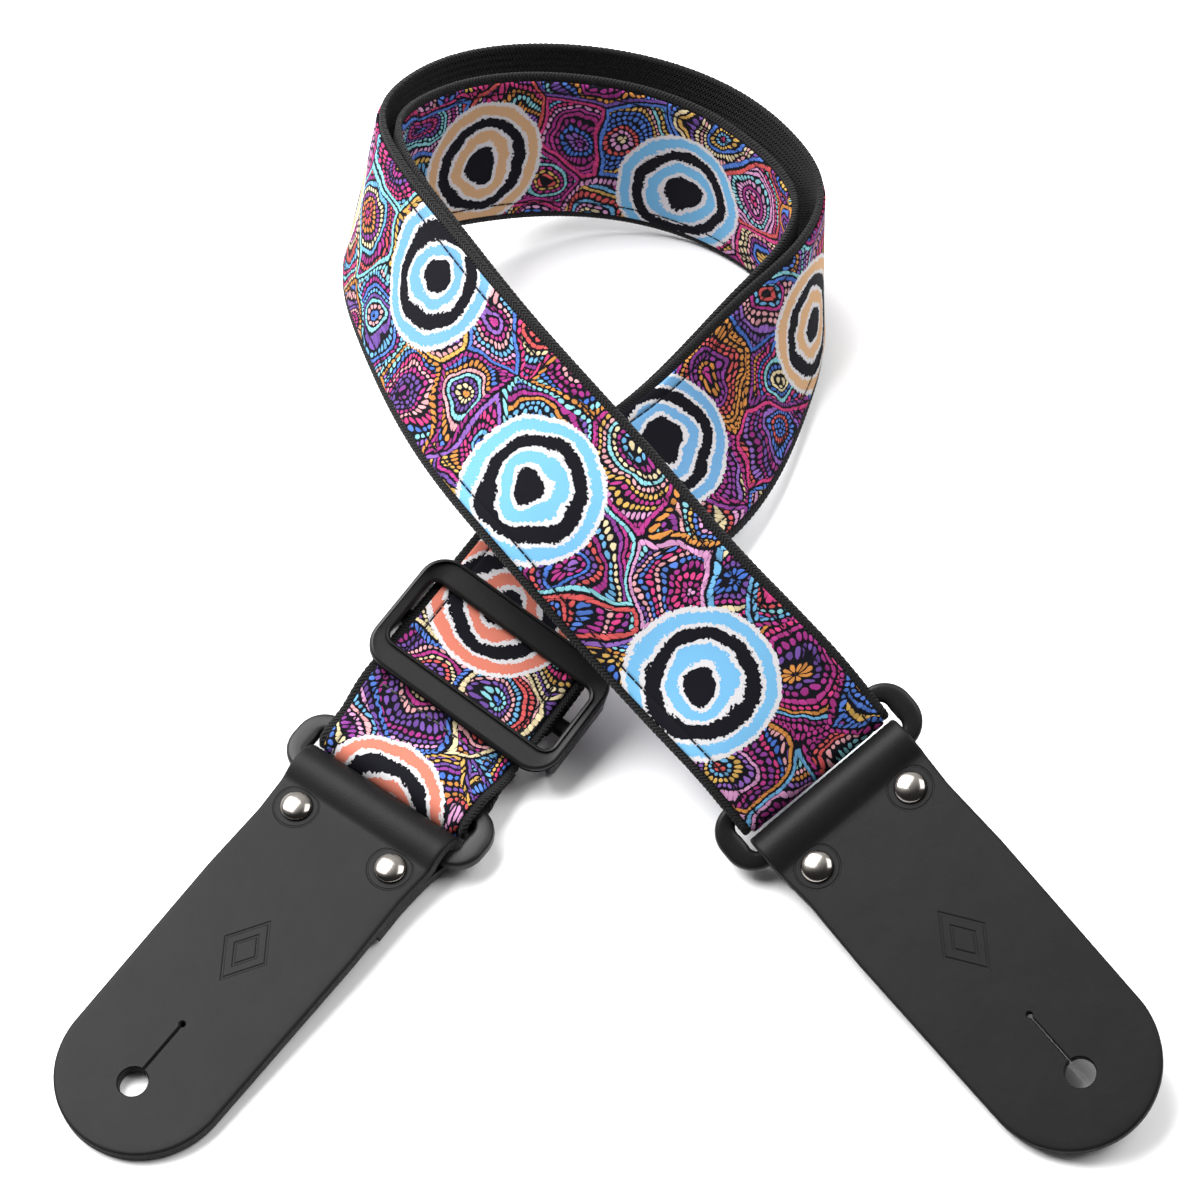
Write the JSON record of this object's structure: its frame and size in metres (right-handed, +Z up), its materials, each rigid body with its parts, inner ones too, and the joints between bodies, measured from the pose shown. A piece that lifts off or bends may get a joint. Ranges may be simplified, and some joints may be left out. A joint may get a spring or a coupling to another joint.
{
  "type": "guitar strap",
  "caption": "Adjustable two-inch guitar strap, looped at its shortest setting, with patterned facing, slider, rings and riveted leather ends that take strap buttons.",
  "frame": {"origin": "bottom centre of the bounding box, on the surface that the strap lies on", "axes": "+Z up; the leather ends point towards -Y and the back of the loop is at +Y; +X to the right of someone who looks along +Y"},
  "size_m": [0.2782, 0.3386, 0.084],
  "materials": {
    "webbing_black": "ribbed matt black webbing",
    "facing_patterned": "matt printed fabric with a many-coloured dotted pattern on near-black",
    "leather_black": "satin black leather with raw cut edges",
    "nickel": "polished nickel plate",
    "plastic_black": "matt moulded black",
    "thread_black": "black sewing thread"
  },
  "bodies": {
    "strap": {"facing_flap_left": "facing_patterned", "facing_fold_left": "facing_patterned", "facing_fold_right": "facing_patterned", "facing_outer": "facing_patterned", "facing_return": "facing_patterned", "facing_return_stretch": "facing_patterned", "stitch_left": "thread_black", "web_flap_left": "webbing_black", "web_fold_left": "webbing_black", "web_fold_right": "webbing_black", "web_outer_back_left": "webbing_black", "web_outer_back_right": "webbing_black", "web_outer_front_leg_high": "webbing_black", "web_outer_front_leg_low": "webbing_black", "web_outer_left_turn": "webbing_black", "web_outer_lower_leg_high": "webbing_black", "web_outer_lower_leg_low": "webbing_black", "web_outer_right_turn": "webbing_black", "web_outer_run": "webbing_black", "web_return_back_left": "webbing_black", "web_return_back_right": "webbing_black", "web_return_front_leg_high": "webbing_black", "web_return_front_leg_low": "webbing_black", "web_return_left_turn": "webbing_black", "web_return_lower_leg_high": "webbing_black", "web_return_lower_leg_low": "webbing_black", "web_return_right_turn": "webbing_black", "web_return_stretch": "webbing_black"},
    "ring_left": {"ring_left": "plastic_black"},
    "end_left": {"leather_left": "leather_black", "rivet_cap_left_a": "nickel", "rivet_cap_left_b": "nickel", "rivet_post_left_a": "nickel", "rivet_post_left_b": "nickel"},
    "ring_right": {"ring_right": "plastic_black"},
    "end_right": {"leather_right": "leather_black", "rivet_cap_right_a": "nickel", "rivet_cap_right_b": "nickel", "rivet_post_right_a": "nickel", "rivet_post_right_b": "nickel"},
    "slider": {"facing_sewn_flap": "facing_patterned", "facing_sewn_under": "facing_patterned", "facing_sewn_wrap": "facing_patterned", "slider": "plastic_black", "web_sewn_flap": "webbing_black", "web_sewn_under": "webbing_black", "web_sewn_wrap": "webbing_black"}
  },
  "joints": [
    {"name": "ring_left_swing", "type": "hinge", "parent": "strap", "child": "ring_left", "pos_m": [-0.05345, -0.06053, 0.00745], "axis": [-0.808, 0.5892, 0], "range_deg": [-5, 60]},
    {"name": "leather_left_swing", "type": "hinge", "parent": "ring_left", "child": "end_left", "pos_m": [-0.06197, -0.07222, 0.00639], "axis": [-0.808, 0.5892, 0], "range_deg": [-10, 60]},
    {"name": "ring_right_swing", "type": "hinge", "parent": "strap", "child": "ring_right", "pos_m": [0.05215, -0.06347, 0.02019], "axis": [-0.7639, -0.5478, -0.3412], "range_deg": [-10, 60]},
    {"name": "leather_right_swing", "type": "hinge", "parent": "ring_right", "child": "end_right", "pos_m": [0.06149, -0.07328, 0.01503], "axis": [-0.7639, -0.5478, -0.3412], "range_deg": [-10, 60]},
    {"name": "slider_travel", "type": "slide", "parent": "strap", "child": "slider", "axis": [-0.5819, -0.798, -0.1564], "range_m": [-0.012, 0.002], "deforming": ["web_return_stretch", "facing_return_stretch"]}
  ]
}
